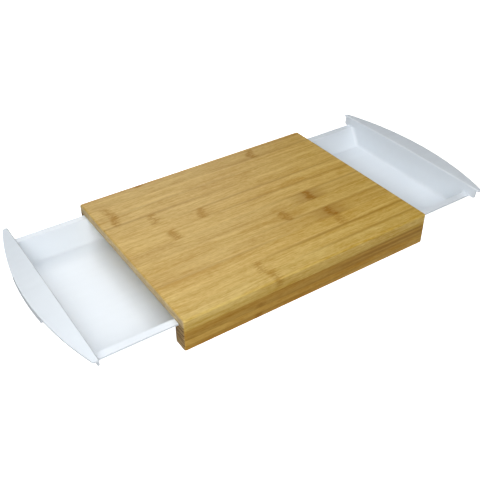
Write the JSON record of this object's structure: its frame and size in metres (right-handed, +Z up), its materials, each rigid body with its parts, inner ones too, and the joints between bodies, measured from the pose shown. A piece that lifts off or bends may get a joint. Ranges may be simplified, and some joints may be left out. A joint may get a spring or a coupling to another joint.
{
  "type": "cutting board with drawer trays",
  "caption": "Thick glued-up wooden cutting board on two side rails, with a white moulded tray that slides out of each end by an arched lip.",
  "frame": {"origin": "on the table under the middle of the board, at the bottom centre of the whole object with both trays drawn out", "axes": "+X along the trays' travel towards the right tray's lip, +Y across the board to its rear side, +Z up out of the cutting face"},
  "size_m": [0.645, 0.29, 0.0495],
  "materials": {
    "bamboo_light": "oiled bamboo, fine straight grain",
    "bamboo_mid": "oiled bamboo, fine straight grain",
    "bamboo_dark": "oiled bamboo, fine straight grain",
    "tray_plastic": "white moulded plastic, soft satin"
  },
  "bodies": {
    "board": {"top_stave_01": "bamboo_mid", "top_stave_02": "bamboo_mid", "top_stave_03": "bamboo_light", "top_stave_04": "bamboo_light", "top_stave_05": "bamboo_mid", "top_stave_06": "bamboo_light", "top_stave_07": "bamboo_mid", "top_stave_08": "bamboo_mid", "top_stave_09": "bamboo_light", "top_stave_10": "bamboo_light", "top_stave_11": "bamboo_mid", "top_stave_12": "bamboo_mid", "top_stave_13": "bamboo_light", "front_rail_strip_1": "bamboo_mid", "front_rail_strip_2": "bamboo_mid", "front_rail_strip_3": "bamboo_dark", "front_rail_strip_4": "bamboo_dark", "front_rail_strip_5": "bamboo_mid", "rear_rail_strip_1": "bamboo_mid", "rear_rail_strip_2": "bamboo_mid", "rear_rail_strip_3": "bamboo_dark", "rear_rail_strip_4": "bamboo_dark", "rear_rail_strip_5": "bamboo_mid"},
    "left_tray": {"left_tray": "tray_plastic"},
    "right_tray": {"right_tray": "tray_plastic"}
  },
  "joints": [
    {"name": "left_tray_slide", "type": "slide", "parent": "board", "child": "left_tray", "axis": [-1, 0, 0], "range_m": [-0.1005, 0.055]},
    {"name": "right_tray_slide", "type": "slide", "parent": "board", "child": "right_tray", "axis": [1, 0, 0], "range_m": [-0.1005, 0.055]}
  ]
}
